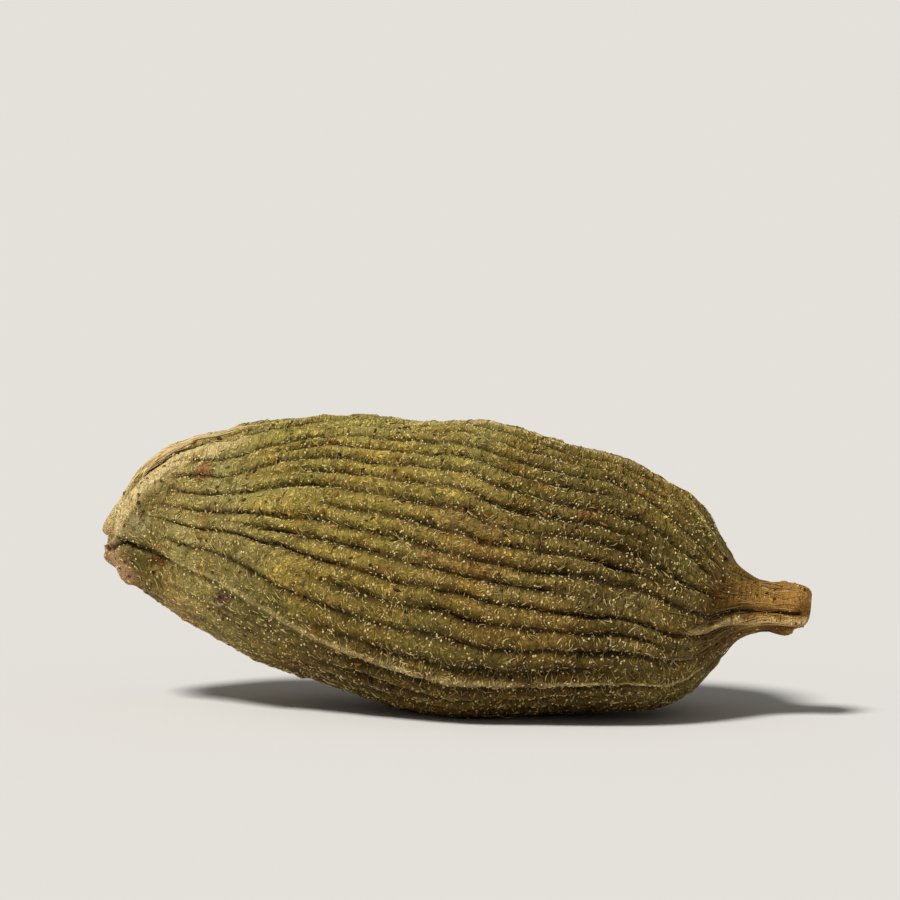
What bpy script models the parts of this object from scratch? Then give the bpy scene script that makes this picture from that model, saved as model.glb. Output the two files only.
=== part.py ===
"""A dried green cardamom pod: a ribbed, three-sided capsule with a split beak and a cut stalk.

The pod's axis runs along X, beak at -X and stalk at +X, and its front faces -Y. A place on the pod is a
station along the axis from the beak's tip, in millimetres, and an angle about the axis, in degrees: 0 at the
front and 90 at the top. The pod lies on the plane z = 0, with the origin at the bottom centre of its box.
"""

import bmesh
import bpy
import numpy as np

mm = 0.001

# The capsule, from its tip to the stalk's cut end: station, radius, and how far the middle line strays
# forwards and upwards.
profile = (
    (0, 0, 0.45, -0.55), (0.02, 0.5, 0.42, -0.38), (0.08, 1.0, 0.35, -0.14), (0.22, 1.4, 0.3, 0.06),
    (0.6, 1.8, 0.2, 0.22), (1.4, 2.35, 0.05, 0.28), (2.7, 2.9, 0, 0.12), (4.3, 3.45, 0, 0.05),
    (6.3, 3.8, 0, 0.05), (8.5, 4.05, 0, -0.1), (10.7, 4.2, 0, -0.1), (12.7, 3.85, 0, -0.05),
    (14.5, 3.55, 0, 0), (15.9, 3.1, 0, -0.15), (16.8, 2.55, 0, -0.2), (17.4, 1.8, 0, -0.15),
    (17.85, 1.22, 0, -0.02), (18.4, 0.9, 0, 0.06), (19.1, 0.7, 0, 0.1), (19.75, 0.7, 0, 0.1),
    (19.95, 0.6, 0, 0.1), (20, 0, 0, 0.1),
)
axis_tilt = 5.9
top_corner = 82
corner_bulge = 0.045
tip_breadth = 0.84
broadening = 0.3
rest_depth = 0.2

# Each of the three faces has the same ribs between its corners, more or less evenly spread: the crests'
# angles from the face's upper corner.
face_crests = (0, 8, 16, 24, 31, 40, 48, 57, 65, 74, 82, 90, 100, 109, 120)
face_count = 3
rib_depth = 0.15
keel_height = 0.07

# Where the three valves of the capsule stand apart at the tip: how far each beak reaches past the front
# one, and how wide it is. The faces are the front, the lower and the back one.
beak_reach = (0, 0.42, 0.57)
beak_width = (1, 0.5, 0.6)
beak_centre = 0.45

# Folds and grooves: width, then the places they pass, each with its height.
folds = {
    "split": (0.1, ((0, 45, -0.2), (0.25, 42, -0.3), (0.6, 50, -0.35), (0.9, 54, -0.35), (1.4, 60, -0.35),
                    (2.3, 68, -0.25), (3.3, 72, -0.15), (4.6, 74, 0))),
    "front lip": (0.22, ((0.1, 10, 0.05), (0.4, 20, 0.12), (0.9, 38, 0.16), (1.4, 46, 0.16),
                         (1.9, 56, 0.14), (2.5, 61, 0.12), (3.5, 65, 0.1), (6, 68, 0))),
    "back lip": (0.2, ((0.3, 75, 0.05), (0.9, 70, 0.1), (1.5, 78, 0.1), (2.4, 82, 0.08), (3.4, 84, 0))),
    "lower seam": (0.12, ((0, -20, -0.1), (0.45, -14, -0.25), (1, -16, -0.22), (1.7, -16, -0.16),
                          (2.6, -16, 0))),
    "lower fold": (0.2, ((0.4, -60, 0.12), (1, -50, 0.14), (1.9, -42, 0.08), (3, -40, 0))),
    "stalk groove": (0.12, ((17.2, -3, 0), (18, -4, -0.16), (18.9, -10, -0.16), (20, -6, -0.2))),
    "stalk ridge": (0.13, ((17, -11, 0.02), (18, -19, 0.1), (18.9, -29, 0.1), (20, -26, 0.1))),
    "stalk underside": (0.12, ((17.6, -34, 0), (18.2, -46, -0.12), (20, -48, -0.12))),
    "stalk shoulder": (0.08, ((17.8, 62, 0), (18.2, 56, -0.1), (18.7, 50, -0.1), (19.3, 46, 0))),
}

# Swellings and dents: station, angle, height and size.
swellings = (
    (2.1, 46, 0.16, 0.22), (1.55, -24, -0.22, 0.32), (0.5, -45, 0.1, 0.4), (0.9, -4, 0.08, 0.3),
    (8.6, 88, -0.06, 0.9), (10.2, 92, 0.04, 1), (12.6, -76, -0.05, 0.8), (9.1, -97, 0.22, 1.2),
    (5.2, -50, -0.1, 0.9), (4.2, -30, 0.06, 0.8), (14.6, 150, 0.08, 1.3), (7.5, 200, -0.09, 1.2),
    (15.8, 20, -0.08, 0.9), (19.75, 70, 0.1, 0.3), (19.8, -70, 0.03, 0.3), (19.7, 180, 0.08, 0.35),
    (20, 10, -0.3, 0.22),
)

ring_count = 36
tip_crowding = 1.6
stalk_crowding = 0.8
columns_per_rib = 4
column_count = face_count * (len(face_crests) - 1) * columns_per_rib


def ease(start, end, value):
    """Runs smoothly from 0 at start to 1 at end."""
    part = np.clip((value - start) / (end - start), 0, 1)
    return part * part * (3 - 2 * part)


def smooth_path(points, places):
    """A centripetal Catmull-Rom curve through the points, read at places counted in points."""
    points = np.asarray(points, float)
    steps = np.linalg.norm(np.diff(points, axis=0), axis=1) ** 0.5
    knots = np.concatenate([[0], np.cumsum(steps)])
    before, after = steps[:-1, None], steps[1:, None]
    slopes = np.empty_like(points)
    slopes[1:-1] = (
        (points[1:-1] - points[:-2]) / before * after + (points[2:] - points[1:-1]) / after * before
    ) / (before + after)
    slopes[0] = 2 * (points[1] - points[0]) / steps[0] - slopes[1]
    slopes[-1] = 2 * (points[-1] - points[-2]) / steps[-1] - slopes[-2]
    along = np.interp(places, np.arange(len(points)), knots)
    i = np.clip(np.searchsorted(knots, along, side="right") - 1, 0, len(points) - 2)
    step = steps[i][..., None]
    u = (along - knots[i])[..., None] / step
    return (
        (2 * u**3 - 3 * u**2 + 1) * points[i]
        + (u**3 - 2 * u**2 + u) * step * slopes[i]
        + (3 * u**2 - 2 * u**3) * points[i + 1]
        + (u**3 - u**2) * step * slopes[i + 1]
    )


def place_at(station):
    """The place, counted in points of the profile, that has this station."""
    places = np.linspace(0, len(profile) - 1, 2000)
    return np.interp(station, np.maximum.accumulate(smooth_path(profile, places)[:, 0]), places)


def ring_places():
    """Where the mesh's rings lie: about evenly along the skin, and closer at the tip and the stalk."""
    places = np.linspace(0, len(profile) - 1, 2000)
    steps = np.linalg.norm(np.diff(smooth_path(profile, places)[:, :2], axis=0), axis=1)
    skin = np.concatenate([[0], np.cumsum(steps)])
    at_tip = tip_crowding * (1 - ease(1.5, 5, skin))
    at_stalk = stalk_crowding * ease(skin[-1] - 6, skin[-1] - 4, skin)
    share = np.concatenate([[0], np.cumsum(steps * (1 + at_tip + at_stalk)[1:])])
    return np.interp(np.linspace(0, share[-1], ring_count + 1), share, places)


def plain_surface(place, angle):
    """The smooth capsule: rounded three-sided sections along the straying middle line, tilted as it lies."""
    station, radius, forwards, upwards = np.moveaxis(smooth_path(profile, place), -1, 0)
    sides = corner_bulge * ease(0.5, 3, station) * (1 - ease(15, 18, station))
    around = np.radians(angle)
    reach = radius * (1 + sides * np.cos(3 * (around - np.radians(top_corner))))
    breadth = tip_breadth + broadening * ease(3, 14, station)
    breadth = 1 + (breadth - 1) * ease(0.2, 2, station) * (1 - ease(16, 18, station))
    height = upwards + reach * np.sin(around)
    tilt = np.radians(axis_tilt)
    return np.stack(
        [
            station * np.cos(tilt) + height * np.sin(tilt),
            -forwards - reach * breadth * np.cos(around),
            height * np.cos(tilt) - station * np.sin(tilt),
        ],
        axis=-1,
    )


def outward(place, angle):
    """The plain surface's normal, from its slopes along and around the pod."""
    last = len(profile) - 1
    ahead, behind = np.minimum(place + 0.02, last), np.maximum(place - 0.02, 0)
    along = plain_surface(ahead, angle) - plain_surface(behind, angle)
    around = plain_surface(place, angle + 0.5) - plain_surface(place, angle - 0.5)
    normal = np.cross(along, around)
    length = np.linalg.norm(normal, axis=-1, keepdims=True)
    ends = np.stack([np.where(place < last / 2, -1.0, 1.0), 0 * place, 0 * place], axis=-1)
    return np.where(length > 1e-9, normal / np.maximum(length, 1e-9), ends)


def rib_angle(turn, station):
    """The angle of a line that runs the pod's length: turn counts ribs from the top corner."""
    ribs = len(face_crests) - 1
    face = np.floor(turn / ribs)
    crest = top_corner - 120 * face - np.interp(turn - face * ribs, np.arange(ribs + 1), face_crests)
    twist = 8 - 8 * ease(5, 14, station) - 15 * ease(15.5, 18, station)
    gather = 21 * (1 - ease(3, 7, station)) + 18 * (1 - ease(0.5, 2, station))
    return crest + twist - gather * np.sin(np.radians(crest - 8))


def rib_height(turn, station):
    """Rounded crests between narrow valleys, each rib a little different, with a keel at each corner."""
    ribs = len(face_crests) - 1
    number = np.round(turn)
    strength = 0.85 + 0.2 * np.sin(number * 2.4) + 0.15 * np.sin(station * 0.9 + number * 1.7)
    fade = ease(0.9, 2.6, station) * (1 - ease(17, 18.3, station))
    ridges = rib_depth * strength * (np.abs(np.cos(np.pi * turn)) - 1)
    corner = np.abs((turn + ribs / 2) % ribs - ribs / 2)
    return fade * (ridges + keel_height * np.exp(-((corner / 0.35) ** 2)))


def fold_height(points):
    """The folds and grooves: each is highest along its line over the plain surface and fades beside it."""
    height = np.zeros(points.shape[:-1])
    for width, stops in folds.values():
        station, angle, rise = smooth_path(stops, np.linspace(0, len(stops) - 1, 40)).T
        line = plain_surface(place_at(station), angle)
        away = np.linalg.norm(points[..., None, :] - line, axis=-1)
        nearest = np.argmin(away, axis=-1)
        height += rise[nearest] * np.exp(-((away.min(axis=-1) / width) ** 2))
    return height


def swelling_height(points):
    height = np.zeros(points.shape[:-1])
    for station, angle, rise, size in swellings:
        centre = plain_surface(place_at(station), angle)
        height += rise * np.exp(-(np.linalg.norm(points - centre, axis=-1) / size) ** 2)
    return height


def beak_length(turn, radius):
    """How far the three valves' beaks reach past the tip."""
    ribs = len(face_crests) - 1
    reach = 0
    for face in range(face_count):
        inside = ribs / 2 - np.abs((turn - face * ribs) % (ribs * face_count) - ribs / 2)
        lobe = np.exp(-(((radius - beak_centre) / beak_width[face]) ** 2))
        reach = reach + beak_reach[face] * lobe * ease(-0.4, 1.2, inside)
    return reach * ease(0, beak_centre, radius)


def pod_surface(place, turn):
    """The pod with its relief, in millimetres, lying on its pressed belly."""
    station, radius = np.moveaxis(smooth_path(profile, place), -1, 0)[:2]
    angle = rib_angle(turn, station)
    plain = plain_surface(place, angle)
    underside = plain_surface(place_at(np.linspace(5, 15, 200))[:, None], np.linspace(-120, -60, 61))
    belly = underside[..., 2].min()
    worn = ease(0.02, 0.5, plain[..., 2] - belly)
    height = worn * rib_height(turn, station) + fold_height(plain) + swelling_height(plain)
    points = plain + height[..., None] * outward(place, angle)
    points[..., 0] -= beak_length(turn, radius)
    points[..., 2] = np.maximum(points[..., 2] - belly - rest_depth, 0)
    return points


def clear_scene():
    for old in list(bpy.data.objects):
        bpy.data.objects.remove(old)


def husk_material():
    material = bpy.data.materials.new("dried husk")
    material.use_nodes = True
    shader = material.node_tree.nodes["Principled BSDF"]
    shader.inputs["Base Color"].default_value = (0.28, 0.22, 0.08, 1)
    shader.inputs["Roughness"].default_value = 0.6
    return material


def make_pod(collection):
    """A globe whose rings become stations and whose columns follow the ribs."""
    mesh = bpy.data.meshes.new("pod")
    globe = bmesh.new()
    bmesh.ops.create_uvsphere(globe, u_segments=column_count, v_segments=ring_count, radius=1)
    globe.to_mesh(mesh)
    globe.free()
    points = np.empty(len(mesh.vertices) * 3)
    mesh.vertices.foreach_get("co", points)
    x, y, z = points.reshape(-1, 3).T
    ring = np.round(np.arccos(np.clip(-z, -1, 1)) / np.pi * ring_count)
    column = np.round(np.arctan2(y, x) / (2 * np.pi) * column_count) % column_count
    points = pod_surface(ring_places()[ring.astype(int)], column / columns_per_rib)
    low, high = points.min(axis=0), points.max(axis=0)
    points[:, :2] -= (low + high)[:2] / 2
    mesh.vertices.foreach_set("co", (points * mm).ravel())
    mesh.materials.append(husk_material())
    mesh.shade_smooth()
    mesh.update()
    collection.objects.link(bpy.data.objects.new("pod", mesh))


def main():
    clear_scene()
    collection = bpy.data.collections.new("cardamom pod")
    bpy.context.scene.collection.children.link(collection)
    make_pod(collection)


main()
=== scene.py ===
import bpy
import numpy as np
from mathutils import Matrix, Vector


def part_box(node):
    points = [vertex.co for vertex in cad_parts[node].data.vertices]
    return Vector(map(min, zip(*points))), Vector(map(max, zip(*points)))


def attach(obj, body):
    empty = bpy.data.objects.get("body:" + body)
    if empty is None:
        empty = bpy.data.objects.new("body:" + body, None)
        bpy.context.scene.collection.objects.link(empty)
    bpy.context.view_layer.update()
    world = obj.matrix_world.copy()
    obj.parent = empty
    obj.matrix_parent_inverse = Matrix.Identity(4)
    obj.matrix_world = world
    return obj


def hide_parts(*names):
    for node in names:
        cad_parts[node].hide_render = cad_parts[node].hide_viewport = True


millimetre = 0.001

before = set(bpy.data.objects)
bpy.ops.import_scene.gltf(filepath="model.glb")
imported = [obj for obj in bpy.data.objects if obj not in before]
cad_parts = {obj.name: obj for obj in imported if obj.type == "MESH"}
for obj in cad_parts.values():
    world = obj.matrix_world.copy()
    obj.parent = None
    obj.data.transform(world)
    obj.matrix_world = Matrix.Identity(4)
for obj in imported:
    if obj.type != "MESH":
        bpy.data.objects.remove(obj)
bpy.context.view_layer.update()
podLow, podHigh = (np.array(corner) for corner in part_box("pod"))
print("frame loaded")

# the eye, a little above the pod and turned towards its stalk
view = {
    "azimuth": 12.0,  # degrees
    "pitch": 3.7,
    "lens": 150.0,
    "distance": 106.9,  # millimetres
    "aim": (-0.14, 0.0, 7.42),
}


def addFacing(name, data, towards):
    # an object that looks or shines from this direction back to the middle
    thing = bpy.data.objects.new(name, data)
    thing.rotation_euler = Vector(towards).to_track_quat("Z", "Y").to_euler()
    bpy.context.collection.objects.link(thing)
    return thing


def makeCamera():
    data = bpy.data.cameras.new("camera")
    data.lens = view["lens"]
    data.sensor_width = 36
    data.clip_start = 0.005
    around, up = np.radians((view["azimuth"], view["pitch"]))
    towards = np.array([np.sin(around) * np.cos(up), -np.cos(around) * np.cos(up), np.sin(up)])
    camera = addFacing("camera", data, towards)
    aim = np.array(view["aim"]) * millimetre
    camera.location = aim + towards * view["distance"] * millimetre
    bpy.context.scene.camera = camera


makeCamera()

# the form that the solid has too, in millimetres and degrees
podForm = {
    # station, radius, and how far the middle line strays forwards and upwards
    "profile": (
        (0, 0, 0.45, -0.55), (0.02, 0.5, 0.42, -0.38), (0.08, 1.0, 0.35, -0.14), (0.22, 1.4, 0.3, 0.06),
        (0.6, 1.8, 0.2, 0.22), (1.4, 2.35, 0.05, 0.28), (2.7, 2.9, 0, 0.12), (4.3, 3.45, 0, 0.05),
        (6.3, 3.8, 0, 0.05), (8.5, 4.05, 0, -0.1), (10.7, 4.2, 0, -0.1), (12.7, 3.85, 0, -0.05),
        (14.5, 3.55, 0, 0), (15.9, 3.1, 0, -0.15), (16.8, 2.55, 0, -0.2), (17.4, 1.8, 0, -0.15),
        (17.85, 1.22, 0, -0.02), (18.4, 0.9, 0, 0.06), (19.1, 0.7, 0, 0.1), (19.75, 0.7, 0, 0.1),
        (19.95, 0.6, 0, 0.1), (20, 0, 0, 0.1),
    ),
    "tilt": 5.9,  # with the tip end up
    "topCorner": 82,
    "cornerBulge": 0.045,  # share of the radius
    "restDepth": 0.2,  # how far the belly is pressed flat
    "wornUnder": (0.02, 0.5),  # heights above the belly where ribs begin and are whole
    "tipBreadth": 0.84,  # front to back, as a share of the height
    "broadening": 0.3,
    "crests": (0, 8, 16, 24, 31, 40, 48, 57, 65, 74, 82, 90, 100, 109, 120),  # after a corner
    "ribDepth": 0.15,
    "ribsStart": (0.9, 2.6),  # stations
    "ribsEnd": (17, 18.3),
    "tipTwist": 8,
    "untwisting": ((8, 5, 14), (15, 15.5, 18)),  # how much is lost between two stations
    "gathering": ((21, 3, 7), (18, 0.5, 2)),  # towards the front, lost between two stations
    "keelHeight": 0.07,
    "keelBreadth": 0.35,  # in ribs
    "beakReach": (0, 0.42, 0.57),  # of each valve
    "beakWidth": (1, 0.5, 0.6),
    "beakCentre": 0.45,  # radius at which the beaks reach furthest
    # width, then the places passed, each with its height
    "folds": {
        "split": (0.1, ((0, 45, -0.2), (0.25, 42, -0.3), (0.6, 50, -0.35), (0.9, 54, -0.35),
                        (1.4, 60, -0.35), (2.3, 68, -0.25), (3.3, 72, -0.15), (4.6, 74, 0))),
        "frontLip": (0.22, ((0.1, 10, 0.05), (0.4, 20, 0.12), (0.9, 38, 0.16), (1.4, 46, 0.16),
                            (1.9, 56, 0.14), (2.5, 61, 0.12), (3.5, 65, 0.1), (6, 68, 0))),
        "backLip": (0.2, ((0.3, 75, 0.05), (0.9, 70, 0.1), (1.5, 78, 0.1), (2.4, 82, 0.08),
                          (3.4, 84, 0))),
        "lowerSeam": (0.12, ((0, -20, -0.1), (0.45, -14, -0.25), (1, -16, -0.22), (1.7, -16, -0.16),
                             (2.6, -16, 0))),
        "lowerFold": (0.2, ((0.4, -60, 0.12), (1, -50, 0.14), (1.9, -42, 0.08), (3, -40, 0))),
        "stalkGroove": (0.12, ((17.2, -3, 0), (18, -4, -0.16), (18.9, -10, -0.16), (20, -6, -0.2))),
        "stalkRidge": (0.13, ((17, -11, 0.02), (18, -19, 0.1), (18.9, -29, 0.1), (20, -26, 0.1))),
        "stalkUnderside": (0.12, ((17.6, -34, 0), (18.2, -46, -0.12), (20, -48, -0.12))),
        "stalkShoulder": (0.08, ((17.8, 62, 0), (18.2, 56, -0.1), (18.7, 50, -0.1), (19.3, 46, 0))),
    },
    # station, angle, height, size
    "swellings": (
        (2.65, 44, 0.28, 0.3), (1.55, -24, -0.22, 0.32), (0.5, -45, 0.1, 0.4), (0.9, -4, 0.08, 0.3),
        (8.6, 88, -0.06, 0.9), (10.2, 92, 0.04, 1), (12.6, -76, -0.05, 0.8), (9.1, -97, 0.22, 1.2),
        (5.2, -50, -0.1, 0.9), (4.2, -30, 0.06, 0.8), (14.6, 150, 0.08, 1.3), (7.5, 200, -0.09, 1.2),
        (15.8, 20, -0.08, 0.9), (19.75, 70, 0.1, 0.3), (19.8, -70, 0.03, 0.3), (19.7, 180, 0.08, 0.35),
        (20, 10, -0.3, 0.22),
    ),
}

# what the fine skin adds to that form
husk = {
    "columnsPerRib": 11,
    "rings": 210,
    "solidRings": 36,  # the plain solid's own grid, which places the fine one
    "solidColumnsPerRib": 4,
    "tipCrowding": 1.6,  # extra rings, as a share
    "stalkCrowding": 0.8,
    "straying": ((1.7, 0.3), (0.6, 0.13)),  # of the ribs: size in millimetres, and how far in ribs
    "unevenness": ((1.5, 0.5), (0.5, 0.25)),  # of the ribs' depth: size, and share of the depth
    "valleyRounding": 0.03,
    "deeper": 1.4,  # the fine ribs against the solid's
    "ribsStart": (0.4, 2.4),  # stations
    "joining": (4.4, 14.6),  # stations between which every rib stands alone
    "joiningSpread": 1.3,  # how far that differs from rib to rib
    "joiningLength": 1.8,
    "shallowUnder": 2.9,  # radius, millimetres
    "shoulders": (  # low swellings: station, angle, height, size
        (16.4, 88, 0.19, 0.6), (17.3, 20, 0.06, 0.4), (12.2, 30, 0.05, 0.9), (7.4, 55, -0.05, 1.0),
        (3.4, 92, 0.12, 0.9), (3.4, -75, -0.1, 0.9),
    ),
    "calmRibs": 0.9,  # how much of their depth the lower face's ribs lose in its tip half
    "calmEnd": (5.5, 9.5),  # stations
    "bareFrom": (16.9, 17.7),  # stations where the husk gives way to the bare stalk
    "bareShoulder": (15.5, 72, 0.6, 3.4),  # station, angle, and how near it fibres thin out
    "lumps": ((0.5, 0.035), (0.24, 0.028), (0.13, 0.018)),  # size and height
}
profilePoints = np.array(podForm["profile"], float)
lastPlace = len(profilePoints) - 1
faceRibs = len(podForm["crests"]) - 1
wholeTurn = 3 * faceRibs


def ease(start, end, value):
    # 0 at start to 1 at end, level at both; along the pod, start and end are stations
    part = np.clip((value - start) / (end - start), 0, 1)
    return part * part * (3 - 2 * part)


def lengths(vectors):
    return np.linalg.norm(vectors, axis=-1)


def smoothPath(points, places):
    # centripetal Catmull-Rom curve: cubic pieces whose slopes at each point weigh both neighbours
    points = np.asarray(points, float)
    steps = lengths(np.diff(points, axis=0)) ** 0.5
    knots = np.concatenate([[0], np.cumsum(steps)])
    before, after = steps[:-1, None], steps[1:, None]
    slopes = np.empty_like(points)
    rising = (points[1:-1] - points[:-2]) / before * after
    falling = (points[2:] - points[1:-1]) / after * before
    slopes[1:-1] = (rising + falling) / (before + after)
    slopes[0] = 2 * (points[1] - points[0]) / steps[0] - slopes[1]
    slopes[-1] = 2 * (points[-1] - points[-2]) / steps[-1] - slopes[-2]
    along = np.interp(places, np.arange(len(points)), knots)
    i = np.clip(np.searchsorted(knots, along, side="right") - 1, 0, len(points) - 2)
    step = steps[i][..., None]
    u = (along - knots[i])[..., None] / step
    starts = (2 * u**3 - 3 * u**2 + 1) * points[i] + (u**3 - 2 * u**2 + u) * step * slopes[i]
    ends = (3 * u**2 - 2 * u**3) * points[i + 1] + (u**3 - u**2) * step * slopes[i + 1]
    return starts + ends


def latticeNoise(points, size, seed):
    # smooth noise of -1 to 1: hashed values at a cubic lattice's corners, blended by eased distances
    spot = points / size
    cell = np.floor(spot).astype(np.int64)
    part = spot - cell
    part = part * part * (3 - 2 * part)
    total = np.zeros(points.shape[:-1])
    for corner in np.ndindex(2, 2, 2):
        at = cell + np.array(corner)
        key = at[..., 0] * 73856093 ^ at[..., 1] * 19349663 ^ at[..., 2] * 83492791 ^ seed * 40503
        key = ((key ^ (key >> 15)) * 668265263) & 0x7FFFFFFF
        key = ((key ^ (key >> 13)) * 374761393) & 0x7FFFFFFF
        value = ((key >> 8) & 0xFFFF) / 32767.5 - 1
        weight = np.where(corner, part, 1 - part)
        total += value * weight.prod(axis=-1)
    return total


finePlaces = np.linspace(0, lastPlace, 2000)
fineProfile = smoothPath(profilePoints, finePlaces)


def placeAt(station):
    # where along the profile's points a station is
    return np.interp(station, np.maximum.accumulate(fineProfile[:, 0]), finePlaces)


def ringPlaces(count):
    # equal shares of the skin's length, with more rings where it is crowded
    steps = lengths(np.diff(fineProfile[:, :2], axis=0))
    skin = np.concatenate([[0], np.cumsum(steps)])
    atTip = husk["tipCrowding"] * (1 - ease(1.5, 5, skin))
    atStalk = husk["stalkCrowding"] * ease(skin[-1] - 6, skin[-1] - 4, skin)
    share = np.concatenate([[0], np.cumsum(steps * (1 + atTip + atStalk)[1:])])
    return np.interp(np.linspace(0, share[-1], count + 1), share, finePlaces)


def plainSurface(place, angle):
    # a rounded three-sided section about the straying middle line, tilted as the pod lies
    station, radius, forwards, upwards = np.moveaxis(smoothPath(profilePoints, place), -1, 0)
    sides = podForm["cornerBulge"] * ease(0.5, 3, station) * (1 - ease(15, 18, station))
    around = np.radians(angle)
    reach = radius * (1 + sides * np.cos(3 * (around - np.radians(podForm["topCorner"]))))
    breadth = podForm["tipBreadth"] + podForm["broadening"] * ease(3, 14, station)
    breadth = 1 + (breadth - 1) * ease(0.2, 2, station) * (1 - ease(16, 18, station))
    height = upwards + reach * np.sin(around)
    tilt = np.radians(podForm["tilt"])
    x = station * np.cos(tilt) + height * np.sin(tilt)
    z = height * np.cos(tilt) - station * np.sin(tilt)
    return np.stack([x, -forwards - reach * breadth * np.cos(around), z], axis=-1)


def outward(place, angle):
    # the cross product of the plain surface's slopes along and around the pod
    ahead, behind = np.minimum(place + 0.02, lastPlace), np.maximum(place - 0.02, 0)
    along = plainSurface(ahead, angle) - plainSurface(behind, angle)
    around = plainSurface(place, angle + 0.5) - plainSurface(place, angle - 0.5)
    normal = np.cross(along, around)
    length = lengths(normal)[..., None]
    ends = np.stack([np.where(place < lastPlace / 2, -1.0, 1.0), 0 * place, 0 * place], axis=-1)
    return np.where(length > 1e-9, normal / np.maximum(length, 1e-9), ends)


def ribAngle(turn, station):
    # the crest's own angle, twisted along the pod and gathered to the front at the tip
    face = np.floor(turn / faceRibs)
    crest = podForm["topCorner"] - 120 * face
    crest = crest - np.interp(turn - face * faceRibs, np.arange(faceRibs + 1), podForm["crests"])
    twist = podForm["tipTwist"]
    for lost, start, end in podForm["untwisting"]:
        twist = twist - lost * ease(start, end, station)
    gather = sum(far * (1 - ease(start, end, station)) for far, start, end in podForm["gathering"])
    return crest + twist - gather * np.sin(np.radians(crest - podForm["tipTwist"]))


def ribCrest(turn, rounding):
    # 1 on each crest and 0 in each valley: the absolute cosine of the turn, with its valleys rounded
    bottom = rounding**0.5
    return (np.sqrt(np.cos(np.pi * turn) ** 2 + rounding) - bottom) / ((1 + rounding) ** 0.5 - bottom)


def fromCorner(turn):
    # how many ribs away the nearest corner is
    return np.abs((turn + faceRibs / 2) % faceRibs - faceRibs / 2)


def ribHeight(turn, station, crest):
    # rounded crests between narrow valleys, each rib swelling in its own way, and a keel at each corner
    number = np.round(turn)
    strength = 0.85 + 0.2 * np.sin(number * 2.4) + 0.15 * np.sin(station * 0.9 + number * 1.7)
    ridges = podForm["ribDepth"] * strength * (crest - 1)
    keel = np.exp(-((fromCorner(turn) / podForm["keelBreadth"]) ** 2))
    return ridges, podForm["keelHeight"] * keel


def calmPlace(turn, station):
    # 1 on the tip half of the lower face, whose skin is drawn smoother
    face = turn % wholeTurn
    lower = ease(faceRibs - 1.6, faceRibs - 0.4, face)
    lower = lower * (1 - ease(2 * faceRibs - 2, 2 * faceRibs, face))
    return lower * (1 - ease(*husk["calmEnd"], station))


def ribRelief(turn, station, plain, fine):
    # the ribs' height and how far each place is a crest; fine lets the ribs stray and vary
    if not fine:
        crest = ribCrest(turn, 0)
        ridges, keel = ribHeight(turn, station, crest)
        return ridges + keel, crest
    strayed, depth = turn, 1 - husk["calmRibs"] * calmPlace(turn, station)
    for seed, (size, far) in enumerate(husk["straying"]):
        strayed = strayed + far * latticeNoise(plain, size, 20 + seed)
    for seed, (size, share) in enumerate(husk["unevenness"]):
        depth = depth * (1 + share * latticeNoise(plain, size, 30 + seed))
    crest = ribCrest(strayed, husk["valleyRounding"])
    # every other valley ends short of the tip and the stalk, so that the ribs beside it join
    number = np.floor(strayed)
    length = husk["joiningLength"]
    start, end = (middle + husk["joiningSpread"] * np.sin(number * 1.9) for middle in husk["joining"])
    kept = ease(start, start + length, station) * (1 - ease(end, end + length, station))
    crest = 1 - (1 - crest) * np.where(number % 2 == 1, kept, 1)
    ridges, keel = ribHeight(turn, station, crest)
    depth = depth * husk["deeper"] * (0.7 + 0.3 * ease(3, 6, station))
    return ridges * depth + keel, crest


def foldLine(name):
    # points along a fold on the plain surface, with its height at each
    width, stops = podForm["folds"][name]
    station, angle, rise = smoothPath(stops, np.linspace(0, len(stops) - 1, 40)).T
    return plainSurface(placeAt(station), angle), rise, width


def nearLine(points, line):
    # the distance to the nearest of the line's points, and which one that is
    away = np.full(points.shape[:-1], np.inf)
    nearest = np.zeros(points.shape[:-1], int)
    for i, stop in enumerate(line):
        distance = lengths(points - stop)
        closer = distance < away
        away[closer] = distance[closer]
        nearest[closer] = i
    return away, nearest


def foldHeight(points):
    # each fold's height, fading away from its line as a bell curve
    height = np.zeros(points.shape[:-1])
    for name in podForm["folds"]:
        line, rise, width = foldLine(name)
        away, nearest = nearLine(points, line)
        height += rise[nearest] * np.exp(-((away / width) ** 2))
    return height


def swellingHeight(points, swellings):
    # round swellings and hollows, each a bell curve of the distance from its middle
    height = np.zeros(points.shape[:-1])
    for station, angle, rise, size in swellings:
        centre = plainSurface(placeAt(station), angle)
        height += rise * np.exp(-(lengths(points - centre) / size) ** 2)
    return height


def beakLength(turn, radius):
    # each valve's beak: a ring-shaped lobe over its own third of the turn
    reach = 0
    for face in range(3):
        inside = faceRibs / 2 - np.abs((turn - face * faceRibs) % wholeTurn - faceRibs / 2)
        lobe = np.exp(-(((radius - podForm["beakCentre"]) / podForm["beakWidth"][face]) ** 2))
        reach = reach + podForm["beakReach"][face] * lobe * ease(-0.4, 1.2, inside)
    return reach * ease(0, podForm["beakCentre"], radius)


bellyAngles = np.linspace(-120, -60, 61)
bellyLevel = plainSurface(placeAt(np.linspace(5, 15, 200))[:, None], bellyAngles)[..., 2].min()


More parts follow.
